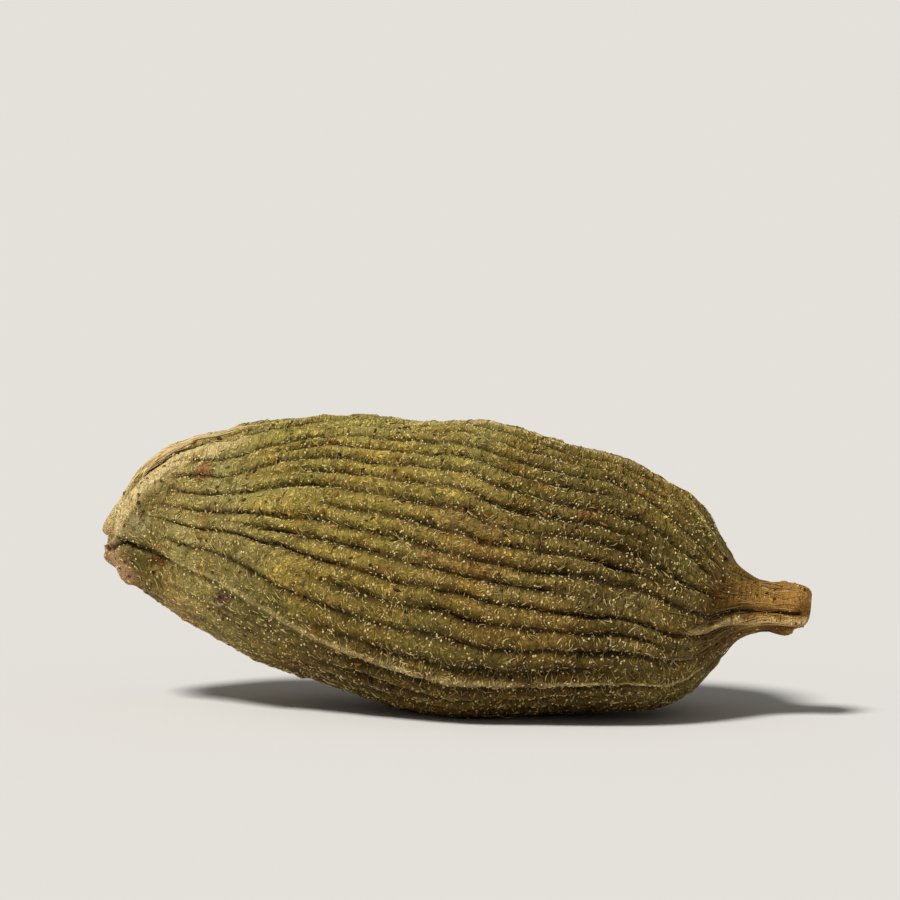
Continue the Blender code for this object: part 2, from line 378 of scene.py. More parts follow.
def podSurface(place, turn, fine=False):
    # the plain surface raised along its normal by ribs, folds and swellings, then pressed flat
    # underneath; gives its points, the plain ones, and how much each is a crest and a valley
    station, radius = np.moveaxis(smoothPath(profilePoints, place), -1, 0)[:2]
    angle = ribAngle(turn, station)
    plain = plainSurface(place, angle)
    worn = ease(*podForm["wornUnder"], plain[..., 2] - bellyLevel)
    ribsStart = husk["ribsStart"] if fine else podForm["ribsStart"]
    ribbed = worn * ease(*ribsStart, station) * (1 - ease(*podForm["ribsEnd"], station))
    ribs, crest = ribRelief(turn, station, plain, fine)
    if fine:
        ribs = ribs * np.minimum(radius / husk["shallowUnder"], 1)
    height = ribbed * ribs + foldHeight(plain) + swellingHeight(plain, podForm["swellings"])
    if fine:
        height += swellingHeight(plain, husk["shoulders"])
        for seed, (size, rise) in enumerate(husk["lumps"]):
            height += (0.3 + 0.7 * ribbed) * worn * rise * latticeNoise(plain, size, seed)
    points = plain + height[..., None] * outward(place, angle)
    points[..., 0] -= beakLength(turn, radius)
    points[..., 2] = np.maximum(points[..., 2] - bellyLevel - podForm["restDepth"], 0)
    return points, plain, crest * ribbed, (1 - crest) * ribbed


def frameShift():
    # what moves the form onto the solid: the middle of the same coarse grid, against its box's middle
    columns = np.arange(wholeTurn * husk["solidColumnsPerRib"]) / husk["solidColumnsPerRib"]
    place, turn = np.meshgrid(ringPlaces(husk["solidRings"]), columns, indexing="ij")
    coarse = podSurface(place, turn)[0].reshape(-1, 3)
    middle = (coarse.min(axis=0) + coarse.max(axis=0)) / 2
    shift = (podLow + podHigh) / 2 / millimetre - middle
    return np.array([shift[0], shift[1], podLow[2] / millimetre])


turnList = np.arange(wholeTurn * husk["columnsPerRib"]) / husk["columnsPerRib"]
gridPlace, gridTurn = np.meshgrid(ringPlaces(husk["rings"]), turnList, indexing="ij")
gridStation = smoothPath(profilePoints, gridPlace)[..., 0]
skin, plainSkin, crests, valleys = podSurface(gridPlace, gridTurn, fine=True)
skin += frameShift()
ringCount, columnCount = skin.shape[:2]
print("husk surface worked out:", ringCount, "rings of", columnCount)

calm = calmPlace(gridTurn, gridStation)
stripped = ease(*husk["bareFrom"], gridStation)

# slopes along and around the skin, in millimetres for each ring and column, and its normals
alongSkin = np.gradient(skin, axis=0)
aroundSkin = (np.roll(skin, -1, axis=1) - np.roll(skin, 1, axis=1)) / 2
skinNormals = np.cross(aroundSkin, alongSkin)
cellAreas = lengths(skinNormals)
skinNormals = skinNormals / np.maximum(cellAreas, 1e-9)[..., None]


def onSkin(layer, ring, column):
    # a grid layer between its points, blended from the four around each place
    ring = np.clip(ring, 0, ringCount - 1.001)
    r, c = np.floor(ring).astype(int), np.floor(column).astype(int)
    part, across = ring - r, column - c
    if layer.ndim == 3:
        part, across = part[..., None], across[..., None]
    c, beside = c % columnCount, (c + 1) % columnCount
    near = layer[r, c] * (1 - across) + layer[r, beside] * across
    far = layer[r + 1, c] * (1 - across) + layer[r + 1, beside] * across
    return near * (1 - part) + far * part


def gridFaces(rings, columns):
    # quads between neighbouring rings, wound so that they face outwards
    ring, column = np.meshgrid(np.arange(rings - 1), np.arange(columns), indexing="ij")
    after = (column + 1) % columns
    corners = (ring * columns + column, ring * columns + after)
    beyond = ((ring + 1) * columns + after, (ring + 1) * columns + column)
    return np.stack(corners + beyond, axis=-1).reshape(-1, 4)


def fillMesh(name, points, quads, triangles=()):
    # puts whole arrays of points and faces into a new smooth mesh
    mesh = bpy.data.meshes.new(name)
    quads = np.asarray(quads, np.int32).reshape(-1, 4)
    triangles = np.asarray(triangles, np.int32).reshape(-1, 3)
    sizes = np.concatenate([np.full(len(quads), 4), np.full(len(triangles), 3)]).astype(np.int32)
    mesh.vertices.add(len(points))
    mesh.vertices.foreach_set("co", np.asarray(points, np.float32).ravel())
    mesh.loops.add(int(sizes.sum()))
    mesh.loops.foreach_set("vertex_index", np.concatenate([quads.ravel(), triangles.ravel()]))
    mesh.polygons.add(len(sizes))
    mesh.polygons.foreach_set("loop_start", (np.cumsum(sizes) - sizes).astype(np.int32))
    mesh.polygons.foreach_set("use_smooth", np.ones(len(sizes), bool))
    mesh.update(calc_edges=True)
    mesh.validate()
    return mesh


def addPiece(name, mesh, material):
    piece = bpy.data.objects.new(name, mesh)
    mesh.materials.append(material)
    bpy.context.collection.objects.link(piece)
    return piece


def paintColours(mesh, colours):
    layer = mesh.attributes.new("tint", "FLOAT_COLOR", "POINT")
    opaque = np.concatenate([colours, np.ones((len(colours), 1))], axis=1)
    layer.data.foreach_set("color", opaque.astype(np.float32).ravel())


def endFans(rings, columns):
    # triangles that close a grid's first and last rings to the two points that follow the grid's own
    column = np.arange(columns)
    after = (column + 1) % columns
    lastRing = (rings - 1) * columns
    first = np.full(columns, rings * columns)
    firstFan = np.stack([after, column, first], axis=-1)
    lastFan = np.stack([lastRing + column, lastRing + after, first + 1], axis=-1)
    return np.concatenate([firstFan, lastFan])


def onPoints(values):
    # grid values in the husk mesh's own order
    ends = np.stack([values[0].mean(axis=0), values[-1].mean(axis=0)])
    return np.concatenate([values[1:-1].reshape(-1, *values.shape[2:]), ends])


def makeHuskMesh():
    # the fine grid's rings, closed at the tip and at the stalk's end to one point each
    points = np.concatenate([skin[1:-1].reshape(-1, 3), [skin[0, 0], skin[-1, 0]]])
    size = (ringCount - 2, columnCount)
    return fillMesh("husk", points * millimetre, gridFaces(*size), endFans(*size))


# station, angle, size and colour (display values), then how much it covers, over those before it
patches = {
    "crown": (6, 80, 7.5, (150, 135, 68), 0.9),
    "front": (6.5, 15, 5.8, (138, 118, 53), 0.85),
    # painted shade on the underside
    "belly": (9, -72, 6.4, (76, 56, 16), 0.85),
    "stalk half": (14.2, 10, 4.6, (84, 68, 30), 0.85),
    "far crown": (13.5, 90, 3.4, (102, 84, 38), 0.6),
    # painted shade on the underside towards the stalk
    "stalk belly": (14, -48, 4.6, (68, 51, 16), 0.85),
    "tip half": (2.6, 15, 2.8, (138, 122, 74), 0.55),
    "lower face": (3.2, -42, 2.6, (122, 112, 66), 0.6),
    "lower front": (4.4, -12, 2.4, (106, 93, 48), 0.7),
    "middle": (12.4, 2, 2.6, (124, 100, 46), 0.7),
    "brown middle": (10.6, 17, 2.2, (124, 92, 46), 0.4),
    # painted shade on the lower side
    "middle belly": (8, -42, 2.6, (84, 66, 24), 0.65),
    "stalk crown": (15, 84, 2.4, (124, 98, 46), 0.55),
    # painted shade in the hollow before the stalk
    "stalk hollow": (15.8, 27, 1.4, (68, 54, 20), 0.6),
    "stalk front": (15.8, -8, 1.3, (116, 95, 48), 0.65),
    "neck": (17.8, 0, 2.2, (106, 74, 26), 0.85),
    "stalk": (19.6, 0, 1.6, (180, 128, 60), 0.85),
    # painted shade under the stalk
    "stalk underside": (19.2, -70, 0.8, (112, 76, 34), 0.8),
    "lower tip": (2.2, -60, 1.8, (156, 122, 66), 0.6),
    "back beak": (0.04, 74, 1.6, (214, 188, 132), 0.95),
    "beak's foot": (0.05, 10, 0.5, (206, 164, 120), 0.8),
    "lower beak": (0.3, -55, 1.0, (196, 152, 110), 0.85),
    "flap": (0.95, 3, 0.55, (150, 140, 94), 0.65),
    # painted shade of a crease near the tip
    "crease": (0.6, 28, 0.35, (84, 60, 28), 0.6),
    "hollow": (1.55, -22, 0.38, (116, 68, 32), 0.8),
    "wart": (2.65, 44, 0.36, (150, 98, 58), 0.95),
    "bruise": (3.76, -24, 0.36, (70, 42, 38), 0.95),
    "rusty crown": (6.2, 62, 0.3, (130, 76, 36), 0.5),
    "rusty rib": (12.6, 52, 0.3, (116, 62, 30), 0.45),
    "rusty flank": (13.9, 42, 0.34, (112, 62, 32), 0.45),
    "rusty middle": (8.6, 4, 0.4, (104, 70, 34), 0.5),
    "brown keel": (6.2, -62, 1.2, (86, 54, 24), 0.6),
    "stalk end": (19.9, 0, 0.5, (84, 38, 22), 0.5),
}
huskColours = {
    "ground": (108, 91, 39),
    # painted shade for the valleys between the ribs
    "valleyShade": (40, 27, 8),
    "straw": (228, 198, 134),
    # painted shade for the split, the lower seam and the stalk's groove
    "grooveShade": (26, 18, 8),
    "pale": (236, 212, 140),
    "rust": (146, 100, 48),
    "umber": (74, 48, 22),
    "bead": (252, 230, 164),
}
painting = {
    "unevenness": ((2.4, 0.16), (0.8, 0.16), (0.35, 0.12)),  # size, and share of the brightness
    "warmth": (0.09, 0.0, -0.12),  # how far red, green and blue change with it
    # painted highlight: how much paler the rib crests are made, for red, green and blue
    "crestHighlight": (0.3, 0.33, 0.36),
    # along each fold: colour, width in millimetres, how much it covers, and a seed for its edge
    "lines": {
        "frontLip": ("straw", 0.36, 0.95, 91),
        "backLip": ("straw", 0.4, 0.7, 92),
        "stalkRidge": ("straw", 0.16, 0.45, 93),
        # painted shade: dark lines along the split, the lower seam and the stalk's groove
        "split": ("grooveShade", 0.15, 0.85, 95),
        "lowerSeam": ("grooveShade", 0.14, 0.85, 96),
        "stalkGroove": ("grooveShade", 0.08, 0.85, 97),
    },
}


def daylight(colour):
    # display values of 0 to 255 as the light they stand for
    value = np.array(colour) / 255
    return np.where(value <= 0.04045, value / 12.92, ((value + 0.055) / 1.055) ** 2.4)


def over(under, colour, cover):
    # a display colour laid over others
    return under + (daylight(colour) - under) * cover[..., None]


def foldCover(name, width, seed):
    # 1 along a fold's line and 0 past its width, with a wavering edge
    line, rise, _ = foldLine(name)
    away, nearest = nearLine(plainSkin, line)
    strength = np.abs(rise[nearest]) / np.abs(rise).max()
    wavering = 1 + 0.5 * latticeNoise(plainSkin, 0.3, seed)
    return ease(1, 0.35, away / (width * wavering)) * ease(0, 0.4, strength)


def skinTints():
    # the ground colour with the patches laid over it, some of them painted shade on the underside and
    # in hollows; crests paler as a painted highlight, valleys darker as painted shade, and painted
    # shade along the grooves
    tints = np.broadcast_to(daylight(huskColours["ground"]), plainSkin.shape)
    for seed, (station, angle, size, colour, cover) in enumerate(patches.values()):
        away = lengths(plainSkin - plainSurface(placeAt(station), angle)) / size
        away = away * (1 + 0.3 * latticeNoise(plainSkin, size * 0.5, 50 + seed))
        tints = over(tints, colour, cover * ease(1, 0.25, away))
    for seed, (size, share) in enumerate(painting["unevenness"]):
        tints = tints * (1 + share * latticeNoise(plainSkin, size, 80 + seed))[..., None]
    tints = tints * (1 + latticeNoise(plainSkin, 1.1, 90)[..., None] * np.array(painting["warmth"]))
    # painted shade: the valleys between the ribs darkened, less on the smoother lower face
    shade = ease(0.45, 1, valleys) * (0.75 + 0.3 * latticeNoise(plainSkin, 0.7, 88))
    tints = over(tints, huskColours["valleyShade"], np.clip(shade, 0, 1) * (1 - 0.8 * calm))
    # painted highlight: the rib crests made paler
    tints = tints * (1 + ease(0.5, 1, crests)[..., None] * np.array(painting["crestHighlight"]))
    fading = {"frontLip": 1 - ease(2.6, 4.2, gridStation)}
    softened = 1 - 0.6 * calm * ease(0.5, 1.3, gridStation)
    # straw along the lips and the stalk's ridge, and painted shade along the grooves
    for name, (colour, width, share, seed) in painting["lines"].items():
        cover = share * foldCover(name, width, seed)
        cover = cover * fading.get(name, softened if colour == "grooveShade" else 1)
        tints = over(tints, huskColours[colour], cover)
    keel = ease(0.18, 0.05, fromCorner(gridTurn)) * ease(1, 2, gridStation)
    keel = keel * (1 - ease(17, 18, gridStation))
    return over(tints, huskColours["straw"], (0.35 + 0.3 * latticeNoise(plainSkin, 0.9, 99)) * keel)


def newMaterial(name, roughness, specular):
    material = bpy.data.materials.new(name)
    material.use_nodes = True
    shader = material.node_tree.nodes["Principled BSDF"]
    shader.inputs["Roughness"].default_value = roughness
    shader.inputs["Specular IOR Level"].default_value = specular
    return material, material.node_tree, shader


def setOrLink(tree, socket, value):
    # links an output socket, and sets anything else as the value
    if hasattr(value, "is_output"):
        tree.links.new(value, socket)
    else:
        socket.default_value = value


def addNode(tree, kind, inputs=(), **settings):
    # a node with its own settings, and a value or a link for each named or numbered input
    node = tree.nodes.new(kind)
    for name, value in settings.items():
        setattr(node, name, value)
    for name, value in dict(inputs).items():
        setOrLink(tree, node.inputs[name], value)
    return node


def mixBy(tree, factor, first, second, blend):
    # the first colour where factor is 0, blended with the second where it is 1
    node = addNode(tree, "ShaderNodeMix", {0: factor}, data_type="RGBA", blend_type=blend)
    setOrLink(tree, node.inputs[6], first)
    setOrLink(tree, node.inputs[7], second)
    return node.outputs[2]


def calculate(tree, operation, first, second=0.0, third=0.0):
    node = addNode(tree, "ShaderNodeMath", {0: first, 1: second, 2: third}, operation=operation)
    return node.outputs[0]


def between(tree, value, low, high):
    # 0 where the value is under low and 1 over high, eased
    inputs = {"Value": value, "From Min": low, "From Max": high}
    node = addNode(tree, "ShaderNodeMapRange", inputs, interpolation_type="SMOOTHSTEP")
    return node.outputs["Result"]


def newGroup(name, values, result):
    # an empty shader node group that takes a place and named values, and gives one value
    group = bpy.data.node_groups.new(name, "ShaderNodeTree")
    group.interface.new_socket("Place", in_out="INPUT", socket_type="NodeSocketVector")
    for label in values:
        group.interface.new_socket(label, in_out="INPUT", socket_type="NodeSocketFloat")
    group.interface.new_socket(result, in_out="OUTPUT", socket_type="NodeSocketFloat")
    given = group.nodes.new("NodeGroupInput").outputs
    return group, given, group.nodes.new("NodeGroupOutput").inputs[0]


def makeMottleGroup():
    # Mask rises from 0 to 1 as noise goes from Low to High; Scale is lumps in each metre
    tree, given, result = newGroup("mottle", ("Scale", "Low", "High"), "Mask")
    inputs = {"Vector": given["Place"], "Scale": given["Scale"], "Detail": 3.0, "Roughness": 0.55}
    noise = addNode(tree, "ShaderNodeTexNoise", inputs)
    tree.links.new(between(tree, noise.outputs["Fac"], given["Low"], given["High"]), result)
    return tree


def makeCurlGroup():
    # Strand is 1 on the level lines of warped noise, which curl like short fibres, and a second noise
    # breaks them up; Lines is how many there are
    tree, given, result = newGroup("curls", ("Scale", "Lines"), "Strand")
    inputs = {"Vector": given["Place"], "Scale": given["Scale"], "Detail": 1.0, "Distortion": 0.8}
    noise = addNode(tree, "ShaderNodeTexNoise", inputs)
    levels = calculate(tree, "MULTIPLY", noise.outputs["Fac"], given["Lines"])
    line = between(tree, calculate(tree, "PINGPONG", levels, 0.5), 0.3, 0.06)
    breaks = calculate(tree, "MULTIPLY", given["Scale"], 1.7)
    inputs = {"Vector": given["Place"], "Scale": breaks, "Detail": 0.0}
    broken = addNode(tree, "ShaderNodeTexNoise", inputs)
    kept = between(tree, broken.outputs["Fac"], 0.4, 0.55)
    tree.links.new(calculate(tree, "MULTIPLY", line, kept), result)
    return tree


def makePitGroup():
    # Pit is 1 in the middle of some cells of a Voronoi pattern, whose edges a finer noise makes ragged
    tree, given, result = newGroup("pits", ("Scale", "Share"), "Pit")
    inputs = {"Vector": given["Place"], "Scale": 14000.0, "Detail": 1.0}
    warp = addNode(tree, "ShaderNodeTexNoise", inputs).outputs["Color"]
    shift = addNode(tree, "ShaderNodeVectorMath", {0: warp, "Scale": 9e-5}, operation="SCALE")
    ragged = addNode(tree, "ShaderNodeVectorMath", {0: given["Place"], 1: shift.outputs[0]}).outputs[0]
    cells = addNode(tree, "ShaderNodeTexVoronoi", {"Vector": ragged, "Scale": given["Scale"]})
    chance = addNode(tree, "ShaderNodeSeparateColor", {"Color": cells.outputs["Color"]}).outputs[0]
    chosen = calculate(tree, "LESS_THAN", chance, given["Share"])
    middle = between(tree, cells.outputs["Distance"], 0.3, 0.16)
    tree.links.new(calculate(tree, "MULTIPLY", middle, chosen), result)
    return tree


mottleGroup = makeMottleGroup()
curlGroup = makeCurlGroup()
pitGroup = makePitGroup()


def placeGroup(tree, group, place, size, **inputs):
    # size is in millimetres
    node = addNode(tree, "ShaderNodeGroup", node_tree=group)
    for name, value in {"Place": place, "Scale": 1 / (size * millimetre), **inputs}.items():
        setOrLink(tree, node.inputs[name], value)
    return node.outputs[0]


def objectPlace(tree, squeeze=(1, 1, 1)):
    place = tree.nodes.new("ShaderNodeTexCoord").outputs["Object"]
    return addNode(tree, "ShaderNodeMapping", {"Vector": place, "Scale": squeeze}).outputs[0]


def painted(tree, name, output="Color"):
    return addNode(tree, "ShaderNodeAttribute", attribute_name=name).outputs[output]


def addBump(tree, shader, height, depth):
    # depth is in millimetres
    inputs = {"Height": height, "Distance": depth * millimetre}
    tree.links.new(addNode(tree, "ShaderNodeBump", inputs).outputs[0], shader.inputs["Normal"])


huskFinish = {
    # size in millimetres, the noise at which each starts and is whole, and its squeeze along the pod
    "mottles": {
        "flecks": (0.16, 0.42, 0.66, 1),
        "stains": (0.9, 0.55, 0.75, 1),
        "darkening": (0.34, 0.48, 0.7, 1),
        "wrinkles": (0.4, 0.35, 0.68, 3.2),
    },
    "strandSize": 0.32,
    "pitSize": 0.22,
    "speckSize": 0.085,
    "pitShade": (0.2, 0.16, 0.14),
    # strength, and the tone that the colour is multiplied by
    "tones": {
        "darkening": (0.8, (0.4, 0.34, 0.26)),
        "stains": (0.5, (1.3, 0.9, 0.6)),
        "flecks": (0.4, (1.5, 1.5, 1.5)),
        "strands": (0.8, (2.4, 2.35, 2.3)),
        # bright specks: partly the husk's own pale specks and partly painted glints
        "specks": (0.9, (3.4, 3.3, 3.2)),
    },
    "brightest": (0.8, 0.66, 0.36),
    "bumps": {"strands": 0.5, "flecks": 0.4, "pits": -1.3, "specks": 0.6},  # against the wrinkles
    "bumpDepth": 0.075,
    "roughness": (0.72, 0.5),  # between wrinkles and on them
    "specular": 0.12,
}


def makeHuskMaterial():
    smooth, wrinkled = huskFinish["roughness"]
    material, tree, shader = newMaterial("dried husk", smooth, huskFinish["specular"])
    place = objectPlace(tree)
    masks = {}
    for name, (size, low, high, squeeze) in huskFinish["mottles"].items():
        squeezed = objectPlace(tree, (squeeze, 1, 1))
        masks[name] = placeGroup(tree, mottleGroup, squeezed, size, Low=low, High=high)
    masks["strands"] = placeGroup(tree, curlGroup, place, huskFinish["strandSize"], Lines=7.0)
    pitted = painted(tree, "pitted", "Fac")
    share = calculate(tree, "MULTIPLY_ADD", pitted, 0.3, 0.1)
    masks["pits"] = placeGroup(tree, pitGroup, place, huskFinish["pitSize"], Share=share)
    # bright specks, partly painted glints
    masks["specks"] = placeGroup(tree, pitGroup, place, huskFinish["speckSize"], Share=0.14)
    grown = calculate(tree, "MULTIPLY_ADD", pitted, -0.6, 1.0)
    colour = painted(tree, "tint")
    for name, (strength, tone) in huskFinish["tones"].items():
        share = calculate(tree, "MULTIPLY", calculate(tree, "MULTIPLY", masks[name], strength), grown)
        colour = mixBy(tree, share, colour, (*tone, 1), "MULTIPLY")
    colour = mixBy(tree, 1.0, colour, (*huskFinish["brightest"], 1), "DARKEN")
    share = calculate(tree, "MULTIPLY", masks["pits"], 0.9)
    colour = mixBy(tree, share, colour, (*huskFinish["pitShade"], 1), "MULTIPLY")
    tree.links.new(colour, shader.inputs["Base Color"])
    height = masks["wrinkles"]
    for name, rise in huskFinish["bumps"].items():
        height = calculate(tree, "MULTIPLY_ADD", masks[name], rise, height)
    addBump(tree, shader, height, huskFinish["bumpDepth"])
    inputs = {"Value": masks["wrinkles"], "To Min": smooth, "To Max": wrinkled}
    rough = addNode(tree, "ShaderNodeMapRange", inputs)
    tree.links.new(rough.outputs["Result"], shader.inputs["Roughness"])
    return material


print("painting the husk")
# the tints hold painted shade in the valleys, grooves, hollows and underside and a painted highlight on
# the crests; the fibres, fringe, stalk strands and beads take them from the skin under them
tints = skinTints()
pitted = 1 - ease(0.8, 1.8, gridStation) + ease(17.8, 18.6, gridStation) * 0.8
huskMesh = makeHuskMesh()
paintColours(huskMesh, onPoints(tints))
layer = huskMesh.attributes.new("pitted", "FLOAT", "POINT")
layer.data.foreach_set("value", onPoints(pitted).astype(np.float32))
huskPiece = addPiece("huskSkin", huskMesh, makeHuskMaterial())
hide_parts("pod")
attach(huskPiece, "root")


def drawsFor(kind):
    # a piece's own seeded draws, and how many it needs
    return np.random.default_rng(kind["seed"]), kind["count"]


def scatter(draw, count, density):
    # places on the grid, as part rings and columns, in proportion to area times density
    share = np.cumsum((cellAreas * density)[2:-2].ravel())
    cell = np.searchsorted(share, draw.uniform(0, share[-1], count))
    ring, column = cell // columnCount + 2, cell % columnCount
    return ring + draw.uniform(-0.5, 0.5, count), column + draw.uniform(-0.5, 0.5, count)


def arcsOnSkin(ring, column, heading, length, bend, steps):
    # arcs laid on the skin: part rings and columns along each, whose heading turns evenly
    reach = np.linspace(-0.5, 0.5, steps) * length[:, None]
    turned = bend[:, None] * reach**2 / 2
    along = reach * np.cos(heading)[:, None] - turned * np.sin(heading)[:, None]
    around = reach * np.sin(heading)[:, None] + turned * np.cos(heading)[:, None]
    ringStep = lengths(onSkin(alongSkin, ring, column))[:, None]
    columnStep = lengths(onSkin(aroundSkin, ring, column))[:, None]
    return (
        np.clip(ring[:, None] + along / np.maximum(ringStep, 0.02), 2, ringCount - 3),
        column[:, None] + around / np.maximum(columnStep, 0.01),
    )


def liftedPaths(rings, columns, lift, sink):
    # places along each strand, highest in its middle and sunk a little at its ends
    bow = 1 - np.linspace(-1, 1, rings.shape[1]) ** 2
    normals = onSkin(skinNormals, rings, columns)
    raised = lift[:, None] * bow - sink[:, None] * (1 - bow)
    return onSkin(skin, rings, columns) + normals * raised[..., None], normals


def strandMesh(name, paths, normals, widths, heights, sides=3):
    # tapered strands along the paths: rings across each path's inner points, closed at both ends
    count, steps = paths.shape[:2]
    sideways = np.cross(normals, np.gradient(paths, axis=1))
    sideways /= np.maximum(lengths(sideways), 1e-9)[..., None]
    around = (np.arange(sides) * 2 * np.pi / sides + np.pi / 2)[:, None]
    taper = np.sin(np.linspace(0, np.pi, steps)[1:-1]) ** 0.4
    widths, heights = ((size[:, None] * taper)[..., None, None] for size in (widths, heights))
    across = sideways[:, 1:-1, None] * np.cos(around) * widths
    upward = normals[:, 1:-1, None] * np.sin(around) * heights
    rings = paths[:, 1:-1, None] + across + upward
    points = np.concatenate([rings.reshape(count, -1, 3), paths[:, :1], paths[:, -1:]], axis=1)
    starts = np.arange(count)[:, None, None] * points.shape[1]
    quads, fans = gridFaces(steps - 2, sides) + starts, endFans(steps - 2, sides) + starts
    return fillMesh(name, points.reshape(-1, 3) * millimetre, quads, fans), points.shape[1]


def layStrands(name, kind, draw, ring, column, heading, length, sides=3):
    # a mesh of strands that are arcs on the skin, as the kind's dictionary says
    count = kind["count"]
    bend = draw.normal(0, kind["bend"], count)
    rings, columns = arcsOnSkin(ring, column, heading, length, bend, kind["steps"])
    radius = draw.uniform(*kind["radius"], count)
    lift = draw.uniform(*kind["lift"], count)
    paths, normals = liftedPaths(rings, columns, lift, radius * kind["sink"])
    return strandMesh(name, paths, normals, radius, radius * kind["flatness"], sides)


def columnAt(station, angle):
    # the part column that has this angle at this station
    away = (angle[..., None] - ribAngle(turnList, station[..., None]) + 180) % 360 - 180
    nearest = np.abs(away).argmin(axis=-1)[..., None]
    aside = np.take_along_axis(away, nearest, axis=-1)[..., 0]
    return nearest[..., 0] - aside * wholeTurn / 360 * husk["columnsPerRib"]


def ringAt(station):
    return np.interp(station, gridStation[:, 0], np.arange(ringCount))


def makeStrandMaterial(name, roughness, specular):
    material, tree, shader = newMaterial(name, roughness, specular)
    place = objectPlace(tree)
    darker = placeGroup(tree, mottleGroup, place, 0.2, Low=0.4, High=0.7)
    cover = calculate(tree, "MULTIPLY", darker, 0.45)
    colour = mixBy(tree, cover, painted(tree, "tint"), (0.5, 0.47, 0.42, 1), "MULTIPLY")
    tree.links.new(colour, shader.inputs["Base Color"])
    grain = placeGroup(tree, mottleGroup, place, 0.05, Low=0.3, High=0.7)
    addBump(tree, shader, grain, 0.006)
    return material


def dress(name, mesh, colours, perStrand, material):
    # a painted piece that rides with the pod
    paintColours(mesh, np.repeat(np.clip(colours, 0, 0.95), perStrand, axis=0))
    piece = addPiece(name, mesh, material)
    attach(piece, "root")
    print("made", name, "with", len(mesh.polygons), "faces")


fibreMaterial = makeStrandMaterial("pale fibre", 0.4, 0.35)
beadMaterial = makeStrandMaterial("resin bead", 0.3, 0.5)
scaleMaterial = makeStrandMaterial("brown scale", 0.6, 0.15)

# for these and the other strands: lengths, radii and lifts in millimetres, bend as the turn in each
# millimetre, sink and flatness against the radius, and steps as the points along each strand
fibres = {
    "curledFibres": {"count": 10800, "length": (0.1, 0.28), "radius": (0.011, 0.02), "bend": 8,
                     "lift": (-0.004, 0.02), "sink": 1.2, "flatness": 1, "steps": 5, "seed": 4},
    "longFibres": {"count": 2200, "length": (0.2, 0.46), "radius": (0.011, 0.019), "bend": 4,
                   "lift": (0, 0.04), "sink": 1.2, "flatness": 1, "steps": 5, "seed": 14},
}


def hairiness():
    # how closely fibres grow: few on the stalk, the split's lips, the tip and the stalk's shoulder
    lips = [foldCover("frontLip", 0.3, 91), foldCover("split", 0.25, 92)]
    station, angle, near, far = husk["bareShoulder"]
    away = lengths(plainSkin - plainSurface(placeAt(station), angle))
    hairy = (1 - 0.8 * stripped) * (1 - 0.85 * np.maximum(*lips)) * ease(0.05, 0.6, gridStation)
    thin = (0.55 + 0.45 * latticeNoise(plainSkin, 1.2, 120)) * (1 - 0.5 * calm)
    return (0.3 + thin) * (0.7 + 0.5 * crests) * (hairy * ease(near, far, away))


def makeFibres(name, kind, density):
    # short fibres that curl in clumps and lie mostly across the ribs
    draw, count = drawsFor(kind)
    ring, column = scatter(draw, count, density)
    clump = onSkin(latticeNoise(plainSkin, 0.55, kind["seed"]), ring, column)
    heading = np.pi / 2 + 1.9 * clump + draw.normal(0, 0.45, count)
    smooth = onSkin(np.maximum(calm, stripped), ring, column)
    heading = heading * (1 - smooth) + draw.normal(0, 0.25, count) * smooth
    length = draw.uniform(*kind["length"], count)
    mesh, perStrand = layStrands(name, kind, draw, ring, column, heading, length)
    # the brighter fibres are laid towards pale: partly their own straw colour and partly a painted
    # highlight; own takes the skin's tints, painted shade included
    bright = draw.uniform(0, 1, (count, 1)) ** 1.3
    own = onSkin(tints, ring, column) * (0.4 + 2.0 * bright)
    dress(name, mesh, over(own, huskColours["pale"], 0.95 * bright[:, 0]), perStrand, fibreMaterial)


fringe = {"count": 260, "length": (0.16, 0.5), "radius": (0.012, 0.02), "bend": 2,
          "lift": (0, 0.04), "sink": 1, "flatness": 0.8, "steps": 7, "seed": 5,
          "stations": (8.5, 17.6), "spread": 5}  # spread about the keel in the grid's columns


def makeFringe():
    # bristles that lie across the lower front keel
    draw, count = drawsFor(fringe)
    ring = ringAt(draw.uniform(*fringe["stations"], count))
    column = faceRibs * husk["columnsPerRib"] + draw.normal(0, fringe["spread"], count)
    heading = np.pi / 2 + draw.normal(0, 0.45, count)
    length = draw.uniform(*fringe["length"], count)
    mesh, perStrand = layStrands("fringe", fringe, draw, ring, column, heading, length)
    own = onSkin(tints, ring, column) * draw.uniform(0.7, 2.0, (count, 1))
    colours = over(own, huskColours["pale"], draw.uniform(0, 0.35, count))
    dress("fringe", mesh, colours, perStrand, fibreMaterial)


stalkStrands = {"count": 420, "length": (0.5, 1.6), "radius": (0.012, 0.028), "bend": 0.4,
                "lift": (0, 0.03), "sink": 1, "flatness": 0.8, "steps": 9, "seed": 6,
                "begin": (16.2, 17.5), "end": (19.6, 19.9)}  # stations


def makeStalkStrands():
    # long fibres that run down the neck and the stalk
    draw, count = drawsFor(stalkStrands)
    density = ease(*stalkStrands["begin"], gridStation) * (1 - ease(*stalkStrands["end"], gridStation))
    ring, column = scatter(draw, count, density)
    length = draw.uniform(*stalkStrands["length"], count)
    heading = draw.normal(0, 0.12, count)
    mesh, perStrand = layStrands("stalkStrands", stalkStrands, draw, ring, column, heading, length)
    own = onSkin(tints, ring, column) * draw.uniform(0.6, 1.6, (count, 1))
    colours = over(own, huskColours["straw"], draw.uniform(0, 0.5, count) ** 2)
    dress("stalkStrands", mesh, colours, perStrand, fibreMaterial)


# start and reach count the split's own stops, and aside is in degrees, with how much it differs
splitStrands = {"count": 46, "start": (0.8, 4.5), "reach": (1.2, 2.6), "aside": (7, 4),
                "radius": (0.014, 0.03), "lift": (0, 0.05), "flatness": 1.6, "steps": 13, "seed": 7}


